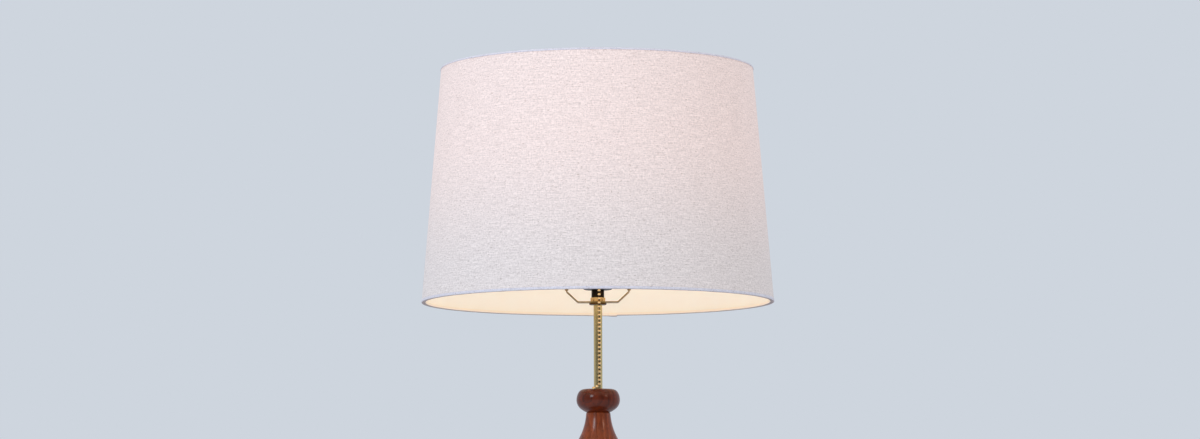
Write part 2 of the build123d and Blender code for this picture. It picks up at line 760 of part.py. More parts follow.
def bulb_base():
    top_r = BULB_NECK_R + NEST_GAP
    wall_r = BULB_BASE_R - 0.8
    return turned([
        (BULB_TIP_R + 2.0, BULB_BASE_Z),
        (BULB_INSULATOR_R, BULB_BASE_Z),
        (BULB_BASE_R, BULB_BASE_Z + 1.2),
        (BULB_BASE_R, BULB_GLASS_Z),
        (wall_r, BULB_GLASS_Z),
        (wall_r, BULB_BASE_Z + 2.0),
        (BULB_TIP_R + 2.0, BULB_BASE_Z + 1.0),
    ]) + tube(BULB_BASE_R, top_r, BULB_GLASS_Z, BULB_GLASS_Z + BULB_CUFF_H)


def bulb_insulator():
    return turned([
        (BULB_TIP_R + RUN_FIT, BULB_INSULATOR_Z),
        (0.55 * BULB_INSULATOR_R, BULB_INSULATOR_Z),
        (BULB_INSULATOR_R, BULB_BASE_Z),
        (BULB_TIP_R + RUN_FIT, BULB_BASE_Z),
    ])


def bulb_contact():
    return turned([
        (0, CONTACT_TOP),
        (BULB_TIP_R - EDGE_BREAK, CONTACT_TOP),
        (BULB_TIP_R, CONTACT_TOP + EDGE_BREAK, CORNER * EDGE_BREAK),
        (BULB_TIP_R, BULB_BASE_Z),
        (0, BULB_BASE_Z),
    ])


# ---------------------------------------------------------------- shade
def shade_r(height, inward=0.0):
    """The fabric's outer radius at a height, or a face that far inside it."""
    return SHADE_R - SHADE_SLOPE * (height - SHADE_Z) - inward


def shade_band(outer_in, inner_in, low, high):
    """A tapered ring between two faces that lie inside the fabric's outer face."""
    return [
        (shade_r(low, inner_in), low),
        (shade_r(low, outer_in), low),
        (shade_r(high, outer_in), high),
        (shade_r(high, inner_in), high),
    ]


def wall_low():
    return SHADE_Z + TRIM_T + NEST_GAP


def wall_high():
    return SHADE_TOP - TRIM_T - NEST_GAP


def shade_liner():
    return turned(shade_band(FABRIC_T + NEST_GAP, WALL_T, wall_low(), wall_high()))


def shade_fabric():
    """The linen skin, with the lap of its back seam."""
    skin = turned(shade_band(0, FABRIC_T, wall_low(), wall_high()))
    low = SHADE_Z + TRIM_H + NEST_GAP
    high = SHADE_TOP - TRIM_H - NEST_GAP
    lap_angle = degrees(LAP_W / SHADE_R)
    lap = turned(shade_band(-LAP_T, FABRIC_T / 2, low, high), lap_angle)
    return skin + Rot(0, 0, 90 - LAP_TURN - lap_angle / 2) * lap


def rolled_trim(rim, inward):
    """A fabric edge rolled over a rim wire. inward is +1 at the bottom rim, -1 at the top."""
    turn = rim + inward * TRIM_T
    tip = rim + inward * TRIM_H
    inner_tip = rim + inward * TRIM_INNER_H
    inner_in = TRIM_IN + TRIM_T
    outline = [
        (shade_r(rim, inner_in - TRIM_T), rim),
        (shade_r(rim), rim),
        (shade_r(turn, -NEST_GAP - TRIM_T), turn, inward * 0.14),
        (shade_r(tip, -NEST_GAP - TRIM_T), tip),
        (shade_r(tip, -NEST_GAP), tip),
        (shade_r(turn, -NEST_GAP), turn),
        (shade_r(turn, TRIM_IN), turn),
        (shade_r(inner_tip, TRIM_IN), inner_tip),
        (shade_r(inner_tip, inner_in), inner_tip),
        (shade_r(turn, inner_in), turn),
    ]
    return turned(outline)


def bottom_wire_ring():
    z = SHADE_Z + TRIM_T + NEST_GAP + RIM_WIRE_R
    return Pos(0, 0, z) * Torus(shade_r(z, WIRE_IN), RIM_WIRE_R)


def top_wire_z():
    return SHADE_TOP - TRIM_T - NEST_GAP - RIM_WIRE_R


def spider_arms(radius):
    rim_z = top_wire_z()
    rim_r = shade_r(rim_z, WIRE_IN)
    arm_z = SEAT_Z + SPIDER_WASHER_T / 2
    root_r = SPIDER_WASHER_R - SPIDER_ROOT_IN
    corners = [(root_r, arm_z), (rim_r - SPIDER_BEND_IN, arm_z), (rim_r, rim_z)]
    arm = bent_wire(corners, SPIDER_BEND_R, radius)
    return [Rot(0, 0, 90 + 360 * k / SPIDER_ARMS) * arm for k in range(SPIDER_ARMS)]


def spider_fitter():
    rim_z = top_wire_z()
    ring = Pos(0, 0, rim_z) * Torus(shade_r(rim_z, WIRE_IN), RIM_WIRE_R)
    washer = tube(SPIDER_WASHER_R, STUD_THREAD_R + FREE_GAP, SEAT_Z, SEAT_Z + SPIDER_WASHER_T)
    return ring + washer + spider_arms(SPIDER_ARM_R)


def top_trim():
    return rolled_trim(SHADE_TOP, -1) - spider_arms(SPIDER_ARM_R + FREE_GAP)


def bottom_trim():
    return rolled_trim(SHADE_Z, 1)


# ---------------------------------------------------------------- finial
def finial_bore_top():
    return SEAT_Z + STUD_THREAD_L + INSERT_SPARE


def finial_insert():
    return tube(INSERT_R, STUD_THREAD_R + RUN_FIT, FINIAL_Z, finial_bore_top())


def finial_knob():
    top = FINIAL_Z + FINIAL_H
    knob_z = top - FINIAL_KNOB_R
    knob_foot = knob_z - sqrt(FINIAL_KNOB_R ** 2 - FINIAL_NECK_R ** 2)
    knob_bow = FINIAL_KNOB_R * (1 - cos(asin((knob_z - knob_foot) / FINIAL_KNOB_R) / 2))
    bore_r = INSERT_R + RUN_FIT
    return turned([
        (bore_r, FINIAL_Z),
        (FINIAL_BASE_R, FINIAL_Z),
        (FINIAL_BASE_R, FINIAL_Z + FINIAL_BASE_T, 0.5),
        (FINIAL_NECK_R, FINIAL_Z + FINIAL_BASE_T + 2.4, -0.6),
        (FINIAL_NECK_R, knob_foot),
        (FINIAL_KNOB_R, knob_z, knob_bow),
        (0, top, SMOOTH),
        (0, finial_bore_top() + INSERT_SPARE),
        (bore_r, finial_bore_top() + INSERT_SPARE),
    ])


PIECES = {
    "felt_pad": felt_pad,
    "base_disc": base_disc,
    "iron_weight": iron_weight,
    "weight_screws": weight_screws,
    "cord_bushing": cord_bushing,
    "base_washer": base_washer,
    "base_nut": base_nut,
    "threaded_pipe": threaded_pipe,
    "foot_collar": foot_collar,
    "column": column,
    "wood_ball": wood_ball,
    "pipe_coupling": pipe_coupling,
    "stem_tube": stem_tube,
    "seat_ring": seat_ring,
    "harp_saddle": harp_saddle,
    "saddle_nut": saddle_nut,
    "harp_bow": harp_bow,
    "harp_stud": harp_stud,
    "ferrule_left": lambda: ferrule(-1),
    "ferrule_right": lambda: ferrule(1),
    "socket_cap": socket_cap,
    "cap_screw": cap_screw,
    "socket_shell": socket_shell,
    "socket_sleeve": socket_sleeve,
    "switch_body": switch_body,
    "terminal_screws": terminal_screws,
    "screw_shell": screw_shell,
    "centre_contact": centre_contact,
    "chain_guide": chain_guide,
    "bead_chain": bead_chain,
    "chain_lug": chain_lug,
    "bulb_glass": bulb_glass,
    "bulb_base": bulb_base,
    "bulb_insulator": bulb_insulator,
    "bulb_contact": bulb_contact,
    "shade_liner": shade_liner,
    "shade_fabric": shade_fabric,
    "bottom_trim": bottom_trim,
    "top_trim": top_trim,
    "bottom_wire_ring": bottom_wire_ring,
    "spider_fitter": spider_fitter,
    "finial_knob": finial_knob,
    "finial_insert": finial_insert,
}

os.makedirs("parts", exist_ok=True)
for name, make in PIECES.items():
    export_step(make(), f"parts/{name}.step")
    print("wrote", name)
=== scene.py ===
# %% [markdown]
# # A column table lamp with a linen drum shade
# The imported model of the lamp comes in first, as a fixed frame, and every piece made below
# takes its place from it. Lengths are in metres, +Z is up, and the lamp's front faces -Y.

from math import cos, hypot, pi, radians, sin, tau

import bpy
from mathutils import Matrix, Vector, noise


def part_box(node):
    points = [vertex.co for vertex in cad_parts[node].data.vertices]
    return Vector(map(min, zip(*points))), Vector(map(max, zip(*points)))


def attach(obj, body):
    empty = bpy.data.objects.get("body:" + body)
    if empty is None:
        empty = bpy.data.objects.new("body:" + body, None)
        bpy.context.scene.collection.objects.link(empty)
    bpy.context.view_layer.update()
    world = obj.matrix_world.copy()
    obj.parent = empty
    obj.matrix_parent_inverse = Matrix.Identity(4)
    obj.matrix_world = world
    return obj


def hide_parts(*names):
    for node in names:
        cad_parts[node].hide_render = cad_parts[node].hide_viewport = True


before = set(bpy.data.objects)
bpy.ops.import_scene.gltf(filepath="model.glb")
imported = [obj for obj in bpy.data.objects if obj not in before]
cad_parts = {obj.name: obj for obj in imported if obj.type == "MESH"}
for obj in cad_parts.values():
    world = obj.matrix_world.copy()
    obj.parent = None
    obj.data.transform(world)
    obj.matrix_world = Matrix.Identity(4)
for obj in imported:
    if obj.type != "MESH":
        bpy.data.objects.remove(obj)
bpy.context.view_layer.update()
MM = 0.001
print("nodes in the frame:", len(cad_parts))

# %% [markdown]
# ## Colours and nodes
# A colour given here is an sRGB value, and a shader works in linear light, so one
# function turns the first into the second. Another adds a shader node with its settings
# and its links, which keeps each finish below short enough to read as a recipe.


# %% Two helpers for every finish
def hex_colour(text):
    """The linear colour of an sRGB hex value."""
    parts = [int(text[i:i + 2], 16) / 255 for i in (1, 3, 5)]
    linear = [p / 12.92 if p <= 0.04045 else ((p + 0.055) / 1.055) ** 2.4 for p in parts]
    return (*linear, 1.0)


def add_node(tree, kind, sockets=None, **settings):
    """One shader node. sockets gives each input a value or another node's output."""
    node = tree.nodes.new(kind)
    for name, value in settings.items():
        setattr(node, name, value)
    for socket, value in (sockets or {}).items():
        if isinstance(value, bpy.types.NodeSocket):
            tree.links.new(value, node.inputs[socket])
        else:
            node.inputs[socket].default_value = value
    return node


# a colour Mix node has one set of sockets for each kind of value; these are the colour's
MIX_FACTOR, MIX_A, MIX_B, MIX_RESULT = 0, 6, 7, 2
print("white is", hex_colour("#ffffff"))


# %% A new finish
def new_finish(name, coordinates="Object"):
    """An empty material: itself, its node tree, its shader and its coordinates in metres."""
    material = bpy.data.materials.new(name)
    material.use_nodes = True
    tree = material.node_tree
    place = add_node(tree, "ShaderNodeTexCoord").outputs[coordinates]
    return material, tree, tree.nodes["Principled BSDF"], place


def set_shader(tree, shader, sockets):
    """Gives the shader's own sockets a plain value or a pattern."""
    for socket, value in sockets.items():
        if isinstance(value, bpy.types.NodeSocket):
            tree.links.new(value, shader.inputs[socket])
        else:
            shader.inputs[socket].default_value = value


finishes = {}
print("finishes start empty:", finishes)

# %% [markdown]
# ## Walnut, turned and lacquered
# Wood turned on a lathe cuts through the tree's growth rings, so the grain is a solid
# pattern and not a picture wrapped round the piece. Rings about a line beside the piece
# give long cathedral figures on the column. A slow drift bends them, fine fibres and dark
# pores run along the grain, and the lacquer is a clear coat over a softer, duller wood.

# %% Lacquered walnut
RING_MM = 6.5           # between growth rings
PORE_MM = 0.9           # a real pore is 0.2 mm wide; this one is coarse enough to show
FIBRE_MM = 1.1
STREAK_MM = 7 * FIBRE_MM
GRAIN_STRETCH = 0.03    # fibres and pores are far longer than they are wide
DRIFT_STRETCH = 0.16    # the rings wander more slowly along the grain
DRIFT_PER_M = 16.0
DRIFT_M = 0.03          # the furthest that a ring wanders


def wave_scale(mm):
    """The scale at which a wave texture repeats every so many millimetres."""
    return tau / (20 * mm * MM)


def lacquered_walnut(name, turn, heart, pale, deep, dark):
    """turn brings the grain upright, and heart is where the tree's middle lies beside it."""
    material, tree, shader, place = new_finish(name)
    upright = add_node(tree, "ShaderNodeMapping", {
        "Vector": place, "Rotation": turn, "Location": heart}).outputs[0]
    slow = add_node(tree, "ShaderNodeMapping", {
        "Vector": upright, "Scale": (1, 1, DRIFT_STRETCH)}).outputs[0]
    drift = add_node(tree, "ShaderNodeTexNoise", {
        "Vector": slow, "Scale": DRIFT_PER_M, "Detail": 3.0}).outputs["Color"]
    bent = add_node(tree, "ShaderNodeVectorMath", {
        0: drift, 1: (DRIFT_M, DRIFT_M, 0.0), 2: upright},
        operation="MULTIPLY_ADD").outputs[0]
    rings = add_node(tree, "ShaderNodeTexWave", {
        "Vector": bent, "Scale": wave_scale(RING_MM), "Distortion": 1.5,
        "Detail": 2.0, "Detail Scale": 0.4}, wave_type="RINGS", rings_direction="Z",
        wave_profile="SAW").outputs["Fac"]
    along = add_node(tree, "ShaderNodeMapping", {
        "Vector": upright, "Scale": (1, 1, GRAIN_STRETCH)}).outputs[0]
    fibres = add_node(tree, "ShaderNodeTexNoise", {
        "Vector": along, "Scale": 1 / (FIBRE_MM * MM), "Detail": 4.0}).outputs[0]
    streaks = add_node(tree, "ShaderNodeTexNoise", {
        "Vector": along, "Scale": 1 / (STREAK_MM * MM), "Detail": 3.0}).outputs[0]
    pores = add_node(tree, "ShaderNodeTexNoise", {
        "Vector": along, "Scale": 1 / (PORE_MM * MM), "Detail": 1.0}).outputs[0]
    ringed = add_node(tree, "ShaderNodeMapRange", {
        0: rings, "To Min": 0.05, "To Max": 0.5}).outputs[0]
    early = add_node(tree, "ShaderNodeMix", {
        MIX_FACTOR: streaks, MIX_A: hex_colour(pale), MIX_B: hex_colour(deep)},
        data_type="RGBA").outputs[MIX_RESULT]
    grained = add_node(tree, "ShaderNodeMix", {
        MIX_FACTOR: ringed, MIX_A: early, MIX_B: hex_colour(dark)},
        data_type="RGBA").outputs[MIX_RESULT]
    pored = add_node(tree, "ShaderNodeMapRange", {
        0: pores, "From Min": 0.60, "From Max": 0.72, "To Max": 0.65}).outputs[0]
    colour = add_node(tree, "ShaderNodeMix", {
        MIX_FACTOR: pored, MIX_A: grained, MIX_B: hex_colour("#240a04")},
        data_type="RGBA").outputs[MIX_RESULT]
    relief = add_node(tree, "ShaderNodeBump", {
        "Height": fibres, "Strength": 0.12, "Distance": 0.1 * MM}).outputs[0]
    rough = add_node(tree, "ShaderNodeMapRange", {
        0: fibres, "To Min": 0.30, "To Max": 0.46}).outputs[0]
    set_shader(tree, shader, {
        "Base Color": colour, "Roughness": rough, "Normal": relief,
        "Specular IOR Level": 0.05, "Coat Weight": 0.5, "Coat Roughness": 0.19, "IOR": 1.5})
    finishes[name] = material


lacquered_walnut("walnut_column", (0, 0, 0), (0.085, 0.02, 0),
                 "#a24e26", "#581f0c", "#360f05")
lacquered_walnut("walnut_ball", (0, 0, 0), (0.02, 0.05, 0),
                 "#7e3011", "#421305", "#2a0a02")
lacquered_walnut("walnut_board", (0, radians(90), 0), (0.09, 0.0, 0.04),
                 "#964822", "#5e250f", "#3a1208")
print("wood finishes:", list(finishes))

# %% [markdown]
# ## Metals
# Every metal here is a small turned, drawn or pressed fitting. They differ in colour, in
# how sharp their gloss is and in the size and direction of their faint patches, so one
# recipe makes them all: two tones, a patch size in millimetres and a stretch along the
# direction of drawing or turning. Lacquer on the brass is a thin clear coat.

# %% Brass, bronze, zinc, nickel, aluminium, tin and iron
METALS = {
    # name: bright tone, dull tone, roughness, patch in mm, stretch, coat
    "brass_lacquered": ("#e8d39c", "#ad945c", 0.24, 9.0, (1, 1, 0.25), 0.2),
    "brass_worn_strip": ("#c4a66c", "#3c2c16", 0.30, 11.0, (1, 1, 1), 0.0),
    "brass_aged": ("#f8d494", "#8a6234", 0.12, 4.0, (1, 1, 1), 0.0),
    "brass_darkened": ("#7a5a34", "#281a10", 0.34, 3.0, (1, 1, 1), 0.0),
    "bronze_blackened": ("#352b22", "#100c09", 0.45, 6.0, (1, 1, 0.5), 0.0),
    "steel_zinc_plated": ("#c9ccd2", "#9a9da6", 0.30, 4.0, (1, 1, 1), 0.0),
    "nickel_plated": ("#d8d3c6", "#b3ad9f", 0.22, 4.0, (1, 1, 1), 0.0),
    "aluminium_rolled": ("#e0e1e3", "#b9bbbf", 0.32, 2.5, (1, 1, 4), 0.0),
    "solder_tin": ("#d9d9d4", "#a5a6a3", 0.38, 1.5, (1, 1, 1), 0.0),
    "iron_cast": ("#6a6a6c", "#434346", 0.62, 1.8, (1, 1, 1), 0.0),
}
for name, (bright, dull, gloss, patch_mm, stretch, coat) in METALS.items():
    material, tree, shader, place = new_finish(name)
    drawn = add_node(tree, "ShaderNodeMapping", {
        "Vector": place, "Scale": stretch}).outputs[0]
    patches = add_node(tree, "ShaderNodeTexNoise", {
        "Vector": drawn, "Scale": 1 / (patch_mm * MM), "Detail": 6.0,
        "Roughness": 0.6}).outputs[0]
    colour = add_node(tree, "ShaderNodeMix", {
        MIX_FACTOR: patches, MIX_A: hex_colour(bright), MIX_B: hex_colour(dull)},
        data_type="RGBA").outputs[MIX_RESULT]
    rough = add_node(tree, "ShaderNodeMapRange", {
        0: patches, "To Min": 0.75 * gloss, "To Max": 1.3 * gloss}).outputs[0]
    grain = add_node(tree, "ShaderNodeTexNoise", {
        "Vector": drawn, "Scale": 12 / (patch_mm * MM), "Detail": 2.0}).outputs[0]
    relief = add_node(tree, "ShaderNodeBump", {
        "Height": grain, "Strength": gloss / 2, "Distance": 0.05 * MM}).outputs[0]
    set_shader(tree, shader, {
        "Base Color": colour, "Metallic": 1.0, "Roughness": rough, "Normal": relief,
        "Coat Weight": coat, "Coat Roughness": 0.08})
    finishes[name] = material
print("metal finishes:", len(METALS))

# %% [markdown]
# The pull chain's brass has a painted highlight on the crown of each bead and painted shade
# round the links. How far a point is from the chain's own line says which.

# %% Painted highlights on the beads, painted shade round the links
chain_low, chain_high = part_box("bead_chain")
CHAIN_LINE = (1.5 * MM, -21.2 * MM, 0.0)        # the middle of the hanging part
DARK_TO, BRIGHT_FROM = 1.15 * MM, 1.55 * MM     # from that line
material = finishes["brass_aged"].copy()
material.name = "brass_beads_painted_glint_and_shade"
tree, shader = material.node_tree, material.node_tree.nodes["Principled BSDF"]
place = add_node(tree, "ShaderNodeTexCoord").outputs["Object"]
aside = add_node(tree, "ShaderNodeVectorMath", {0: place, 1: CHAIN_LINE},
                 operation="SUBTRACT").outputs[0]
aside = add_node(tree, "ShaderNodeVectorMath", {0: aside, 1: (1, 1, 0)},
                 operation="MULTIPLY").outputs[0]
reach = add_node(tree, "ShaderNodeVectorMath", {0: aside}, operation="LENGTH").outputs["Value"]
# painted shade near the chain's line, painted highlight on the bead crowns
painted_glint = add_node(tree, "ShaderNodeMapRange", {
    0: reach, "From Min": DARK_TO, "From Max": BRIGHT_FROM}).outputs[0]
colour = add_node(tree, "ShaderNodeMix", {
    MIX_FACTOR: painted_glint, MIX_A: hex_colour("#3e1a0c"), MIX_B: hex_colour("#f8d298")},
    data_type="RGBA").outputs[MIX_RESULT]
set_shader(tree, shader, {"Base Color": colour})
finishes["brass_beads_painted_glint_and_shade"] = material
print("chain from", round(chain_low.z, 4), "to", round(chain_high.z, 4))

# %% [markdown]
# ## Mouldings, fibre, felt and coated wire
# The hidden insulating parts and the wire fitter have plain colours with a fine texture:
# a moulded part is smooth and slightly cloudy, fibre board and felt are matt and speckled,
# and powder coating has the fine dimples of orange peel.

# %% Plastics, fibre, felt and powder coating
DIELECTRICS = {
    # name: light tone, dark tone, roughness, grain in mm, relief in mm, sheen
    "nylon_moulded_black": ("#26262a", "#131316", 0.42, 1.2, 0.02, 0.0),
    "phenolic_moulded": ("#4a2f26", "#24140f", 0.28, 2.5, 0.01, 0.0),
    "fibre_vulcanised": ("#b09674", "#8a7050", 0.72, 1.0, 0.06, 0.0),
    "glass_fused_black": ("#18181c", "#0a0a0c", 0.08, 3.0, 0.01, 0.0),
    "wire_powder_coated": ("#efece4", "#dcd8ce", 0.40, 0.9, 0.04, 0.0),
    "felt_pressed": ("#5f4f42", "#382d25", 0.95, 0.7, 0.25, 0.6),
}
for name, (light, dark, rough, grain_mm, depth_mm, sheen) in DIELECTRICS.items():
    material, tree, shader, place = new_finish(name)
    grain = add_node(tree, "ShaderNodeTexNoise", {
        "Vector": place, "Scale": 1 / (grain_mm * MM), "Detail": 5.0,
        "Roughness": 0.65}).outputs[0]
    colour = add_node(tree, "ShaderNodeMix", {
        MIX_FACTOR: grain, MIX_A: hex_colour(light), MIX_B: hex_colour(dark)},
        data_type="RGBA").outputs[MIX_RESULT]
    relief = add_node(tree, "ShaderNodeBump", {
        "Height": grain, "Strength": 0.5, "Distance": depth_mm * MM}).outputs[0]
    shine = add_node(tree, "ShaderNodeMapRange", {
        0: grain, "To Min": 0.8 * rough, "To Max": min(1.0, 1.2 * rough)}).outputs[0]
    set_shader(tree, shader, {
        "Base Color": colour, "Roughness": shine, "Normal": relief, "Sheen Weight": sheen})
    finishes[name] = material
print("other finishes:", len(DIELECTRICS))

# %% [markdown]
# ## The lit bulb and the cream liner
# The lamp is switched on. The bulb's glass is etched inside, so it glows as one soft warm
# body, less towards its neck. The liner is a cream styrene sheet that the linen is
# laminated to; the bulb's light that it passes on is painted on it as a glow, most of it
# level with the bulb.

# %% Etched glass and styrene sheet
BULB_MID_Z = (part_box("bulb_glass")[0].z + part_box("bulb_glass")[1].z) / 2
material, tree, shader, place = new_finish("glass_etched_lit")
height = add_node(tree, "ShaderNodeSeparateXYZ", {0: place}).outputs["Z"]
glow = add_node(tree, "ShaderNodeMapRange", {
    0: height, "From Min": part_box("bulb_glass")[0].z, "From Max": BULB_MID_Z,
    "To Min": 1.2, "To Max": 4.6}, interpolation_type="SMOOTHSTEP").outputs[0]
cloud = add_node(tree, "ShaderNodeTexNoise", {
    "Vector": place, "Scale": 1 / (2 * MM), "Detail": 3.0}).outputs[0]
rough = add_node(tree, "ShaderNodeMapRange", {
    0: cloud, "To Min": 0.25, "To Max": 0.4}).outputs[0]
warm = add_node(tree, "ShaderNodeMix", {
    MIX_FACTOR: cloud, MIX_A: hex_colour("#fff1da"), MIX_B: hex_colour("#ffebcd")},
    data_type="RGBA").outputs[MIX_RESULT]
set_shader(tree, shader, {
    "Base Color": hex_colour("#f4f1ea"), "Roughness": rough, "Emission Color": warm,
    "Emission Strength": glow, "IOR": 1.5})
finishes["glass_etched_lit"] = material

material, tree, shader, place = new_finish("styrene_sheet_cream")
height = add_node(tree, "ShaderNodeSeparateXYZ", {0: place}).outputs["Z"]
cloud = add_node(tree, "ShaderNodeTexNoise", {
    "Vector": place, "Scale": 1 / (18 * MM), "Detail": 4.0}).outputs[0]
colour = add_node(tree, "ShaderNodeMix", {
    MIX_FACTOR: cloud, MIX_A: hex_colour("#f8f2e8"), MIX_B: hex_colour("#f3eadd")},
    data_type="RGBA").outputs[MIX_RESULT]
# a painted glow for the bulb's light on the liner, strongest level with the bulb
painted_glow = add_node(tree, "ShaderNodeMapRange", {
    0: height, "From Min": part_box("shade_liner")[0].z, "From Max": BULB_MID_Z,
    "To Min": 0.16, "To Max": 0.18}, interpolation_type="SMOOTHSTEP").outputs[0]
rough = add_node(tree, "ShaderNodeMapRange", {
    0: cloud, "To Min": 0.40, "To Max": 0.55}).outputs[0]
set_shader(tree, shader, {
    "Base Color": colour, "Roughness": rough,
    "Emission Color": hex_colour("#ffe1b7"), "Emission Strength": painted_glow})
finishes["styrene_sheet_cream"] = material
print("bulb's middle height:", round(BULB_MID_Z, 4))

# %% [markdown]
# ## Slub linen
# The shade's cloth is a plain weave of uneven flax yarn. Its threads are drawn 0.6 mm
# apart in relief, and its character comes from slubs, the thick places in single threads:
# short pale and dark dashes, longer across than up, and a few grey-brown flecks of straw.
# The cloth's own coordinates are metres along and up the cut, so a dash has a real length.
# The bulb's light through the cloth is painted on as a glow, less where a slub is thick
# and near the bottom.

# %% Linen with a painted glow from behind on the skin, and none on the rolled edges
THREAD_MM = 0.6
SLUB_MM = (5.0, 1.2)    # along and across a thick place in a weft thread
WARP_SLUB_MM = (1.2, 4.0)
BLOTCH_MM = (2.6, 1.4)
RUN_MM = (24, 1.0)      # a weft yarn stays thick or thin for a while
FLECK_MM = (3.6, 1.1)
THIN_AT, THICK_AT = 1.58, 2.42      # of the four slub patterns' sum
FLECK_FROM, FLECK_FULL = 0.63, 0.69     # of the fleck pattern
GLOW_FROM, GLOW_FULL = 0.01, 0.19       # metres above the lower rim
GLOW_LEAST = 0.12       # of the full glow, at the lower rim
SHADE_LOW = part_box("bottom_trim")[0].z
SHADE_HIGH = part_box("top_trim")[1].z


def slub_linen(name, pale, deep, lit):
    """lit is how strong the painted glow is that stands for the bulb's light through the
    cloth.
    """
    material, tree, shader, cloth = new_finish(name, "UV")
    patterns = []
    for size, seed in ((SLUB_MM, 0.0), (WARP_SLUB_MM, 3.1), (BLOTCH_MM, 7.7), (RUN_MM, 5.3),
                       (FLECK_MM, 12.9)):
        laid = add_node(tree, "ShaderNodeMapping", {
            "Vector": cloth, "Location": (seed, seed, 0),
            "Scale": (1 / (size[0] * MM), 1 / (size[1] * MM), 1)}).outputs[0]
        patterns.append(add_node(tree, "ShaderNodeTexNoise", {
            "Vector": laid, "Scale": 1.0, "Detail": 2.0, "Roughness": 0.6}).outputs[0])
    straw = patterns.pop()
    threads = []
    for direction in ("X", "Y"):
        threads.append(add_node(tree, "ShaderNodeTexWave", {
            "Vector": cloth, "Scale": wave_scale(THREAD_MM), "Distortion": 0.0},
            wave_type="BANDS", bands_direction=direction).outputs["Fac"])
    weave = add_node(tree, "ShaderNodeMath", {0: threads[0], 1: threads[1]},
                     operation="MULTIPLY").outputs[0]
    summed = patterns[0]
    for pattern in patterns[1:]:
        summed = add_node(tree, "ShaderNodeMath", {0: summed, 1: pattern},
                          operation="ADD").outputs[0]
    thick = add_node(tree, "ShaderNodeMapRange", {
        0: summed, "From Min": THIN_AT, "From Max": THICK_AT}).outputs[0]
    colour = add_node(tree, "ShaderNodeMix", {
        MIX_FACTOR: thick, MIX_A: hex_colour(pale), MIX_B: hex_colour(deep)},
        data_type="RGBA").outputs[MIX_RESULT]
    fleck = add_node(tree, "ShaderNodeMapRange", {
        0: straw, "From Min": FLECK_FROM, "From Max": FLECK_FULL, "To Max": 0.75}).outputs[0]
    flecked = add_node(tree, "ShaderNodeMix", {
        MIX_FACTOR: fleck, MIX_A: colour, MIX_B: hex_colour("#8d8078")},
        data_type="RGBA").outputs[MIX_RESULT]
    height = add_node(tree, "ShaderNodeMath", {0: weave, 1: thick}, operation="ADD").outputs[0]
    relief = add_node(tree, "ShaderNodeBump", {
        "Height": height, "Strength": 0.5, "Distance": 0.12 * MM}).outputs[0]
    set_shader(tree, shader, {
        "Base Color": flecked, "Roughness": 0.92, "Normal": relief, "Sheen Weight": 0.15,
        "Sheen Roughness": 0.5})
    if lit:
        # a painted glow for the bulb's light through the cloth, weaker near the lower rim and
        # on thick slubs
        place = add_node(tree, "ShaderNodeTexCoord").outputs["Object"]
        rise = add_node(tree, "ShaderNodeSeparateXYZ", {0: place}).outputs["Z"]
        gain = add_node(tree, "ShaderNodeMapRange", {
            0: rise, "From Min": SHADE_LOW + GLOW_FROM, "From Max": SHADE_LOW + GLOW_FULL,
            "To Min": GLOW_LEAST * lit, "To Max": lit},
            interpolation_type="SMOOTHSTEP").outputs[0]
        thin = add_node(tree, "ShaderNodeMapRange", {
            0: thick, "To Min": 1.2, "To Max": 0.72}).outputs[0]
        painted_glow = add_node(tree, "ShaderNodeMath", {0: gain, 1: thin},
                          operation="MULTIPLY").outputs[0]
        set_shader(tree, shader, {
            "Emission Color": hex_colour("#ffae88"), "Emission Strength": painted_glow})
    finishes[name] = material
    return material, tree, shader, cloth, flecked


slub_linen("linen_slub_painted_glow", "#eae4e2", "#c2bbb9", 0.17)
material, tree, shader, cloth, flecked = slub_linen(
    "linen_bias_binding", "#dedde6", "#c0bec9", 0.0)
print("shade from", round(SHADE_LOW, 4), "to", round(SHADE_HIGH, 4))

# %% [markdown]
# The binding's strip is painted darker round the wire, under the roll, as painted shade
# there. Its inner leg faces the bulb, so it is painted paler and given a warm glow, as
# painted light. How far a point lies round the strip's own line, counted from the rim, is
# in the cloth's second coordinate.

# %% The binding's painted shade round the wire and painted light on its inner leg
CREASE_AT, CREASE_END, INNER_LEG_AT = -0.3 * MM, 3.7 * MM, 4.4 * MM
# the stain in the next line's note is painted shade under the roll, set in over this width
CREASE_EDGE = 0.5 * MM      # over which the stain sets in
across = add_node(tree, "ShaderNodeSeparateXYZ", {0: cloth}).outputs["Y"]
roll_painted_shade = add_node(tree, "ShaderNodeMapRange", {
    0: across, "From Min": CREASE_AT, "From Max": CREASE_AT + CREASE_EDGE,
    "To Max": 0.7}).outputs[0]
roll_shade_colour = add_node(tree, "ShaderNodeMix", {
    MIX_FACTOR: roll_painted_shade, MIX_A: flecked, MIX_B: hex_colour("#8a6c5c")},
    data_type="RGBA").outputs[MIX_RESULT]
# the inner leg gets a painted paler colour and a painted warm glow from the bulb
inner = add_node(tree, "ShaderNodeMapRange", {
    0: across, "From Min": CREASE_END, "From Max": INNER_LEG_AT}).outputs[0]
legs = add_node(tree, "ShaderNodeMix", {
    MIX_FACTOR: inner, MIX_A: roll_shade_colour, MIX_B: hex_colour("#f0e2d2")},
    data_type="RGBA").outputs[MIX_RESULT]
painted_warm_glow = add_node(tree, "ShaderNodeMapRange", {0: inner, "To Max": 0.22}).outputs[0]
set_shader(tree, shader, {"Base Color": legs, "Emission Color": hex_colour("#ffd9a8"),
                          "Emission Strength": painted_warm_glow})
print("inner leg from", INNER_LEG_AT)

# %% [markdown]
# ## Pieces from sections
# Cloth that is wrapped round a form, a rolled binding and a screw thread are all a closed
# outline that travels round the lamp's axis and changes a little as it goes. One function
# joins such outlines into a mesh: as a ring, or with two ends where the cloth overlaps.

# %% A swept piece, and where it belongs
SHARP = radians(38)     # an edge bent more than this stays crisp


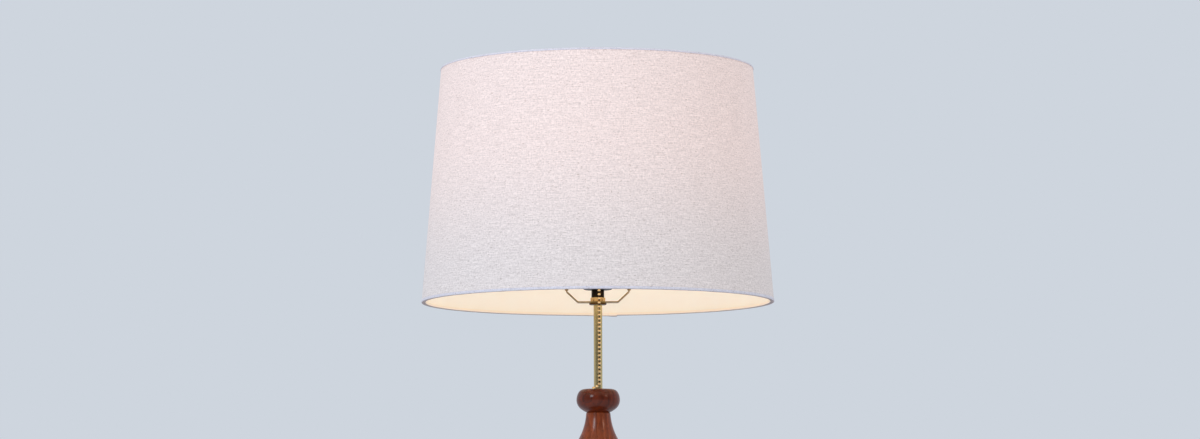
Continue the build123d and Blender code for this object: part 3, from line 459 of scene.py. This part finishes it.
def swept(name, sections, ring=True, uv=None):
    """A mesh through closed outlines with equal numbers of points, one after another."""
    count, points = len(sections), len(sections[0])
    vertices = [p for section in sections for p in section]
    faces, marks = [], []
    for i in range(count if ring else count - 1):
        following = (i + 1) % count
        for j in range(points):
            beside = (j + 1) % points
            faces.append((i * points + j, following * points + j,
                          following * points + beside, i * points + beside))
            marks.append(((i, j), (i + 1, j), (i + 1, j + 1), (i, j + 1)))
    if not ring:
        faces.append(tuple(range(points - 1, -1, -1)))
        marks.append(tuple((0, j) for j in range(points - 1, -1, -1)))
        faces.append(tuple((count - 1) * points + j for j in range(points)))
        marks.append(tuple((count - 1, j) for j in range(points)))
    mesh = bpy.data.meshes.new(name)
    mesh.from_pydata(vertices, [], faces)
    if uv:
        layer = mesh.uv_layers.new(name="cloth")
        corners = [uv(i, j) for face in marks for i, j in face]
        layer.uv.foreach_set("vector", [value for corner in corners for value in corner])
    mesh.shade_smooth()
    mesh.set_sharp_from_angle(angle=SHARP)
    piece = bpy.data.objects.new(name, mesh)
    bpy.context.scene.collection.objects.link(piece)
    return piece


def fit(piece, finish, body, slot, *nodes):
    """Finishes a piece, and hangs it on its body in place of the CAD nodes named."""
    piece.data.materials.append(finishes[finish])
    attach(piece, body)
    if nodes:
        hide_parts(*nodes)
    print(piece.name, len(piece.data.polygons), "faces on", body)
    return piece


def at(radius, angle, height):
    """A point by its distance and its angle from the lamp's axis."""
    return (radius * cos(angle), radius * sin(angle), height)


print("sharp edges start at", round(SHARP, 3))

# %% [markdown]
# ## The linen skin
# The real shade is one cut of cloth on its liner. It starts at the back, goes once round
# and laps 10 mm over its own start, so here too it is one sheet with two ends and a
# raised lap. It lies flat on a stiff liner, which leaves only a trace of unevenness.

# %% Wrap the linen
SHADE_R = 202.7 * MM        # outer face at the lower rim
SHADE_TOP_R = 180.3 * MM
LINEN_T = 0.4 * MM
LAP_W = 10 * MM
LAP_RISE = 0.45 * MM
SEAM_ANGLE = radians(90 - 6.5)
SHADE_H = SHADE_HIGH - SHADE_LOW
TAPER = (SHADE_R - SHADE_TOP_R) / SHADE_H
SLANT = hypot(1, TAPER)
SKIN_STEPS, SKIN_ROWS = 480, 48
SKIN_EDGE = 1.0 * MM        # the cut edge stops inside the rolled binding
LAP_CLIMB = 0.6             # the share of the lap over which it rises
RIPPLE = 0.12 * MM


def shade_radius(height):
    return SHADE_R - TAPER * (height - SHADE_LOW)


lap_angle = LAP_W / SHADE_R
skin_start = SEAM_ANGLE - lap_angle / 2
skin_turn = tau + lap_angle
climb = LAP_CLIMB * lap_angle
skin_heights = [SHADE_LOW + SKIN_EDGE + (SHADE_H - 2 * SKIN_EDGE) * k / (SKIN_ROWS - 1)
                for k in range(SKIN_ROWS)]
sections = []
for i in range(SKIN_STEPS + 1):
    turned = skin_turn * i / SKIN_STEPS
    angle = skin_start + turned
    over = min(1.0, max(0.0, (turned - (tau - climb)) / climb))
    lift = LAP_RISE * over * over * (3 - 2 * over)
    outside = []
    for z in skin_heights:
        ripple = RIPPLE * noise.noise(Vector((4 * cos(angle), 4 * sin(angle), 9 * z)))
        outside.append((shade_radius(z) + lift + ripple, z))
    inside = [(r - LINEN_T, z) for r, z in reversed(outside)]
    sections.append([at(r, angle, z) for r, z in outside + inside])


def skin_uv(i, j):
    row = j if j < SKIN_ROWS else 2 * SKIN_ROWS - 1 - j
    along = skin_turn * i / SKIN_STEPS * (SHADE_R + SHADE_TOP_R) / 2
    return (along, (skin_heights[max(row, 0)] - SHADE_LOW) * SLANT)


skin = fit(swept("linen_skin", sections, ring=False, uv=skin_uv),
           "linen_slub_painted_glow", "shade", "linen", "shade_fabric")

# %% [markdown]
# ## The rolled bindings
# Both rims are finished with a strip of the same linen, cut on the bias, rolled over the
# rim's wire and glued. A strip bent round so tight an edge puckers a little, which is what
# makes the rim catch the light unevenly. Its end laps over its start beside the seam.

# %% Roll the bindings over the rims
TAPE_T = 0.45 * MM
TAPE_OUT = 0.30 * MM        # of the strip's middle from the linen's face
TAPE_IN = 4.40 * MM         # of its inner leg, behind the wire
TAPE_LEG_LOW, TAPE_LEG_HIGH = 3.1 * MM, 2.2 * MM     # of its outer leg, at each rim
TAPE_INNER_LEG = 3.1 * MM
TAPE_ROUND = 0.9 * MM
TAPE_STEPS = 720
PUCKER = 0.10 * MM
TAPE_LAP = 9 * MM
TAPE_DROOP = 0.7 * MM       # the strip hangs a little off the rim before its cut end
TAPE_SLACK_W = 60 * MM
TAPE_LIFT = 1.1 * TAPE_T    # of the lapped end, over the strip below it
TAPE_CLIMB = 0.01           # radians before the lap, where it starts to rise
PUCKER_TURN = 30            # how fast the puckers change round the rim
PUCKER_ACROSS = 0.35        # and from one point of the strip to the next


def tape_line(leg):
    """The strip's middle line: outward offset from the linen's face, and height on the rim."""
    low = TAPE_T / 2
    line = [(TAPE_OUT, leg), (TAPE_OUT, 0.7 * leg), (TAPE_OUT, low + TAPE_ROUND)]
    for corner, start in ((TAPE_OUT - TAPE_ROUND, 0), (TAPE_ROUND - TAPE_IN, 90)):
        for step in range(1, 6):
            a = radians(start + 18 * step)
            line.append((corner + TAPE_ROUND * cos(a), low + TAPE_ROUND - TAPE_ROUND * sin(a)))
        if not start:
            line.append(((TAPE_OUT - TAPE_IN) / 2, low))
            line.append((TAPE_ROUND - TAPE_IN, low))
    line.append((-TAPE_IN, TAPE_INNER_LEG))
    return line


def line_normals(line):
    """Unit normals along a line of two-number points, on its outer side."""
    normals = []
    for k in range(len(line)):
        before, after = line[max(k - 1, 0)], line[min(k + 1, len(line) - 1)]
        run = Vector((after[0] - before[0], after[1] - before[1])).normalized()
        normals.append((-run.y, run.x))
    return normals


def binding(name, rim, inward, leg, node):
    """inward is +1 where the strip's legs go up from the rim, and -1 where they go down."""
    line = tape_line(leg)
    normals = line_normals(line)
    turn = tau + TAPE_LAP / SHADE_R
    start = SEAM_ANGLE + TAPE_LAP / SHADE_R
    sections = []
    for i in range(TAPE_STEPS + 1):
        turned = turn * i / TAPE_STEPS
        angle = start - turned
        over = max(0.0, (turned - tau + TAPE_CLIMB) / (turn - tau + TAPE_CLIMB))
        lift = TAPE_LIFT * min(1.0, 3 * over)
        slack = max(0.0, 1 - (turn - turned) * SHADE_R / TAPE_SLACK_W)
        droop = TAPE_DROOP * slack * slack * (3 - 2 * slack)
        outer, inner = [], []
        for k, ((out, up), (nx, nz)) in enumerate(zip(line, normals)):
            spot = Vector((PUCKER_TURN * cos(angle), PUCKER_TURN * sin(angle),
                           PUCKER_ACROSS * k + rim))
            pucker = PUCKER * noise.noise(spot)
            for side, points in ((lift + TAPE_T / 2 + pucker, outer),
                                 (lift - TAPE_T / 2 + pucker, inner)):
                z = rim + inward * (up + nz * side - droop)
                points.append((shade_radius(z) + out + nx * side, z))
        loop = outer + inner[::-1] if inward > 0 else inner + outer[::-1]
        sections.append([at(r, angle, z) for r, z in loop])
    lengths = [0.0]
    for (ax, az), (bx, bz) in zip(line, line[1:]):
        lengths.append(lengths[-1] + hypot(bx - ax, bz - az))

    def tape_uv(i, j):
        row = min(j if j < len(line) else 2 * len(line) - 1 - j, len(line) - 1)
        return (turn * SHADE_R * i / TAPE_STEPS, lengths[max(row, 0)] - leg)

    return fit(swept(name, sections, ring=False, uv=tape_uv),
               "linen_bias_binding", "shade", "linen", node)


low_binding = binding("binding_bottom", SHADE_LOW, 1, TAPE_LEG_LOW, "bottom_trim")
high_binding = binding("binding_top", SHADE_HIGH, -1, TAPE_LEG_HIGH, "top_trim")

# %% [markdown]
# The cloth is a sheet cut to shape before it was wrapped. The cut is part of a flat ring,
# so its area is smaller than that of the rectangle it comes from.

# %% [markdown]
# ## Screw threads
# A bulb's cap and the socket's shell are rolled from thin sheet into a round, coarse
# thread, and the finial's stud has a fine one. A thread is a radius that rises and falls
# with height and is shifted by one pitch for each turn round the axis.


# %% Roll a thread
def thread_radius(crest, depth, pitch, angle, height, low, high):
    """The thread fades in over its first and last half pitch."""
    wave = 0.5 - 0.5 * cos(tau * (height / pitch - angle / tau))
    fade = max(0.0, min(1.0, (height - low) / (pitch / 2), (high - height) / (pitch / 2)))
    return crest - depth * (1 - fade * (1 - wave))


def threaded(name, outline, crest, depth, pitch, low, high, wall, steps=96, per_pitch=10):
    """outline is what closes the piece: points below the thread, then above and inside it."""
    rows = int((high - low) / pitch * per_pitch) + 1
    heights = [low + (high - low) * k / rows for k in range(rows + 1)]
    below, above = outline
    sections = []
    for i in range(steps):
        angle = tau * i / steps
        side = [(thread_radius(crest, depth, pitch, angle, z, low, high), z) for z in heights]
        back = [(r - wall, z) for r, z in reversed(side)] if wall else []
        sections.append([at(r, angle, z) for r, z in below + side + above + back])
    return swept(name, sections)


CAP_PITCH = 3.63 * MM
CAP_CUT = 1.0 * MM          # depth of the thread
CAP_WALL = 0.6 * MM
CAP_HOLE_R = 6.6 * MM       # the black glass fills it
CAP_FOOT_R = 11.6 * MM
CUFF_H = 3.0 * MM           # of the plain rim that grips the glass
CUFF_LIP = 0.35 * MM
cap_low, cap_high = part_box("bulb_base")
cap_r = cap_high.x
glass_z = cap_high.z - CUFF_H
cap = threaded(
    "bulb_cap_rolled",
    ([(CAP_HOLE_R, cap_low.z + 1.0 * MM), (CAP_HOLE_R, cap_low.z), (CAP_FOOT_R, cap_low.z)],
     [(cap_r - CUFF_LIP, glass_z - 1.2 * MM), (cap_r, glass_z - 0.6 * MM),
      (cap_r, cap_high.z), (cap_r - CUFF_LIP, cap_high.z), (cap_r - CAP_WALL, glass_z)]),
    cap_r, CAP_CUT, CAP_PITCH, cap_low.z + 1.4 * MM, glass_z - 2.0 * MM, CAP_WALL)
fit(cap, "aluminium_rolled", "bulb", "aluminium_shell", "bulb_base")

# %% [markdown]
# The finial unscrews from a brass stud on top of the harp. The stud is a plain collar, which
# the harp's wire passes through and the shade rests on, with a fine cut thread above it.

# %% Cut the harp's stud
STUD_PITCH = 0.94 * MM
STUD_CUT = 0.45 * MM
STUD_BEVEL = 0.8 * MM
STUD_R = 3.05 * MM
STUD_THREAD_L = 13.0 * MM
PINHOLE_R = 0.05 * MM       # a ring of sections leaves one on the axis
stud_low, stud_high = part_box("harp_stud")
seat_z = stud_high.z - STUD_THREAD_L    # the shade rests here, on the stud's collar
collar_r = stud_high.x
stud = threaded(
    "harp_stud_threaded",
    ([(PINHOLE_R, stud_low.z), (collar_r - STUD_BEVEL, stud_low.z),
      (collar_r, stud_low.z + STUD_BEVEL), (collar_r, seat_z), (STUD_R, seat_z)],
     [(STUD_R - STUD_BEVEL, stud_high.z), (PINHOLE_R, stud_high.z)]),
    STUD_R, STUD_CUT, STUD_PITCH, seat_z + 0.2 * MM, stud_high.z - STUD_BEVEL, 0.0,
    steps=48)
fit(stud, "brass_lacquered", "root", "lacquered_brass", "harp_stud")

# %% [markdown]
# ## Felt under the base
# A disc of pressed wool felt keeps the base from marking the table. It is punched from a
# sheet, so its edge is square but soft, and fibres roughen it. It is a sheet laid flat.

# %% Cut the felt
felt_low, felt_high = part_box("felt_pad")
felt_r, felt_t = felt_high.x, felt_high.z - felt_low.z
FELT_STEPS = 360
FUZZ = 0.2 * MM
FUZZ_TURN = 60              # how fast the fuzz changes round the edge
EDGE_SOFT = 0.5 * MM
EDGE_SLIGHT = 0.15 * MM
FELT_HOLE_R = 0.4 * MM      # the ring of sections leaves it at the middle
sections = []
for i in range(FELT_STEPS):
    angle = tau * i / FELT_STEPS
    fuzz = FUZZ * noise.noise(Vector((FUZZ_TURN * cos(angle), FUZZ_TURN * sin(angle), 0)))
    rim = [(felt_r - EDGE_SOFT, 0.0), (felt_r - EDGE_SLIGHT, 0.12 * felt_t),
           (felt_r, 0.35 * felt_t), (felt_r, 0.65 * felt_t),
           (felt_r - EDGE_SLIGHT, 0.88 * felt_t), (felt_r - EDGE_SOFT, felt_t)]
    rim = [(r + fuzz - 0.1 * MM, z) for r, z in rim]
    outline = [(FELT_HOLE_R, 0.0), (felt_r / 2, 0.0), *rim,
               (felt_r / 2, felt_t), (FELT_HOLE_R, felt_t)]
    sections.append([at(r, angle, felt_low.z + z) for r, z in outline])
felt = fit(swept("felt_disc", sections), "felt_pressed", "root", "felt", "felt_pad")

# %% [markdown]
# ## Finishes for the turned, drawn and pressed parts
# The rest of the lamp keeps its CAD shapes, which are right as they are. Each gets the
# finish that its real part has.

# %% Give the CAD parts their finishes
FINISH_OF = {
    "walnut_column": ["column", "foot_collar"],
    "walnut_ball": ["wood_ball"],
    "walnut_board": ["base_disc"],
    "brass_lacquered": ["stem_tube", "harp_bow", "ferrule_left", "ferrule_right",
                        "pipe_coupling", "finial_knob", "finial_insert"],
    "brass_worn_strip": ["harp_saddle"],
    "brass_aged": ["saddle_nut", "chain_guide", "chain_lug"],
    "brass_beads_painted_glint_and_shade": ["bead_chain"],
    "brass_darkened": ["seat_ring"],
    "bronze_blackened": ["socket_cap", "socket_shell", "cap_screw"],
    "steel_zinc_plated": ["weight_screws", "base_washer", "base_nut", "threaded_pipe"],
    "nickel_plated": ["terminal_screws", "centre_contact"],
    "aluminium_rolled": ["screw_shell"],
    "solder_tin": ["bulb_contact"],
    "iron_cast": ["iron_weight"],
    "nylon_moulded_black": ["cord_bushing"],
    "phenolic_moulded": ["switch_body"],
    "fibre_vulcanised": ["socket_sleeve"],
    "glass_fused_black": ["bulb_insulator"],
    "glass_etched_lit": ["bulb_glass"],
    "styrene_sheet_cream": ["shade_liner"],
    "wire_powder_coated": ["bottom_wire_ring", "spider_fitter"],
}
finished = 0
for finish, nodes in FINISH_OF.items():
    for node in nodes:
        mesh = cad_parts[node].data
        mesh.materials.clear()
        mesh.materials.append(finishes[finish])
        finished += 1
print("CAD parts finished:", finished)

# %% [markdown]
# ## The studio
# The lamp stands on a pale floor that runs out of sight. An even sky does most of the
# lighting, and two soft boxes in front, the stronger one on the left, give it direction.
# What the camera sees behind everything is one pale blue-grey. Shiny parts mirror it too,
# but the room on the camera's side is dim, and that is what draws dark bands on brass.

# %% Floor, sky and soft boxes
BACKDROP = "#ced5de"
SKY_LEVEL = 0.95
DIM_SIDE = 0.25         # of the backdrop's brightness, as shiny parts see the camera's side
DIM_AT, FULL_AT = -0.75, 0.15       # of the direction's share along +Y
FLOOR_HALF = 9.0
floor_mesh = bpy.data.meshes.new("studio_floor")
floor_mesh.from_pydata([(x, y, 0) for x, y in (
    (-FLOOR_HALF, -FLOOR_HALF), (FLOOR_HALF, -FLOOR_HALF),
    (FLOOR_HALF, FLOOR_HALF), (-FLOOR_HALF, FLOOR_HALF))], [], [(0, 1, 2, 3)])
floor = bpy.data.objects.new("studio_floor", floor_mesh)
bpy.context.scene.collection.objects.link(floor)
material, tree, shader, place = new_finish("paper_pale_blue")
set_shader(tree, shader, {"Base Color": hex_colour("#d6dbe1"), "Roughness": 0.9,
                          "Specular IOR Level": 0.1})
floor_mesh.materials.append(material)

world = bpy.data.worlds.new("studio")
bpy.context.scene.world = world
world.use_nodes = True
tree = world.node_tree
rays = add_node(tree, "ShaderNodeLightPath")
seen = add_node(tree, "ShaderNodeMath", {
    0: rays.outputs["Is Camera Ray"], 1: rays.outputs["Is Glossy Ray"]}, operation="MAXIMUM")
seen = add_node(tree, "ShaderNodeMath", {
    0: seen.outputs[0], 1: rays.outputs["Is Transmission Ray"]}, operation="MAXIMUM")
toward = add_node(tree, "ShaderNodeTexCoord").outputs["Generated"]
toward = add_node(tree, "ShaderNodeSeparateXYZ", {0: toward}).outputs["Y"]
lit_side = add_node(tree, "ShaderNodeMapRange", {
    0: toward, "From Min": DIM_AT, "From Max": FULL_AT, "To Min": DIM_SIDE, "To Max": 1.0},
    interpolation_type="SMOOTHSTEP").outputs[0]
mirrored = add_node(tree, "ShaderNodeMix", {
    0: rays.outputs["Is Camera Ray"], 2: lit_side, 3: 1.0})
sky = add_node(tree, "ShaderNodeBackground", {
    "Color": hex_colour("#f8faff"), "Strength": SKY_LEVEL})
backdrop = add_node(tree, "ShaderNodeBackground", {
    "Color": hex_colour(BACKDROP), "Strength": mirrored.outputs[0]})
both = add_node(tree, "ShaderNodeMixShader", {
    0: seen.outputs[0], 1: sky.outputs[0], 2: backdrop.outputs[0]})
tree.links.new(both.outputs[0], tree.nodes["World Output"].inputs["Surface"])

SOFT_BOXES = {
    # name: degrees right of the camera, degrees up, distance, watts, width, height, colour
    "soft_box_left": (-37, 26, 2.4, 16.0, 0.55, 0.8, "#f0f6ff"),
    "soft_box_right": (46, 26, 2.4, 4.5, 0.32, 0.6, "#ffe8d0"),
}
AIM = Vector((0, 0, 0.6))
for name, (right, up, distance, watts, width, tall, tint) in SOFT_BOXES.items():
    lamp = bpy.data.lights.new(name, "AREA")
    lamp.shape, lamp.size, lamp.size_y, lamp.energy = "RECTANGLE", width, tall, watts
    lamp.color = hex_colour(tint)[:3]
    box = bpy.data.objects.new(name, lamp)
    level = cos(radians(up))
    away = Vector((sin(radians(right)) * level, -cos(radians(right)) * level,
                   sin(radians(up))))
    box.location = AIM + distance * away
    box.rotation_euler = away.to_track_quat("Z", "Y").to_euler()
    bpy.context.scene.collection.objects.link(box)
print("soft boxes:", list(SOFT_BOXES))

# %% [markdown]
# ## The camera
# The picture was taken with a long lens from low down, well below the shade, so the shade's
# underside shows as a thin ellipse. The lens and the tilt come from the shapes of the two
# rims. The camera leans by less than half a degree.

# %% Set the camera
LENS_MM, SENSOR_MM = 121.2, 36.0
CAMERA_BACK = 4.638
CAMERA_Z = 0.223
CAMERA_X = 0.0028
TILT_UP = radians(5.578)
ROLL = radians(-0.21)
CLIP_END = 60.0
camera_data = bpy.data.cameras.new("camera")
camera_data.lens, camera_data.sensor_width = LENS_MM, SENSOR_MM
camera_data.clip_end = CLIP_END
camera = bpy.data.objects.new("camera", camera_data)
camera.matrix_world = (Matrix.Translation((CAMERA_X, -CAMERA_BACK, CAMERA_Z))
                       @ Matrix.Rotation(radians(90) + TILT_UP, 4, "X")
                       @ Matrix.Rotation(ROLL, 4, "Z"))
bpy.context.scene.collection.objects.link(camera)
bpy.context.scene.camera = camera
bpy.context.scene.view_settings.view_transform = "Standard"
print("camera", [round(v, 4) for v in camera.location])

# %% [markdown]
# ## Update the scene
# The finished model has to stay inside the CAD model's box, apart from a little proud
# cloth.

# %% Update the scene
bpy.context.view_layer.update()
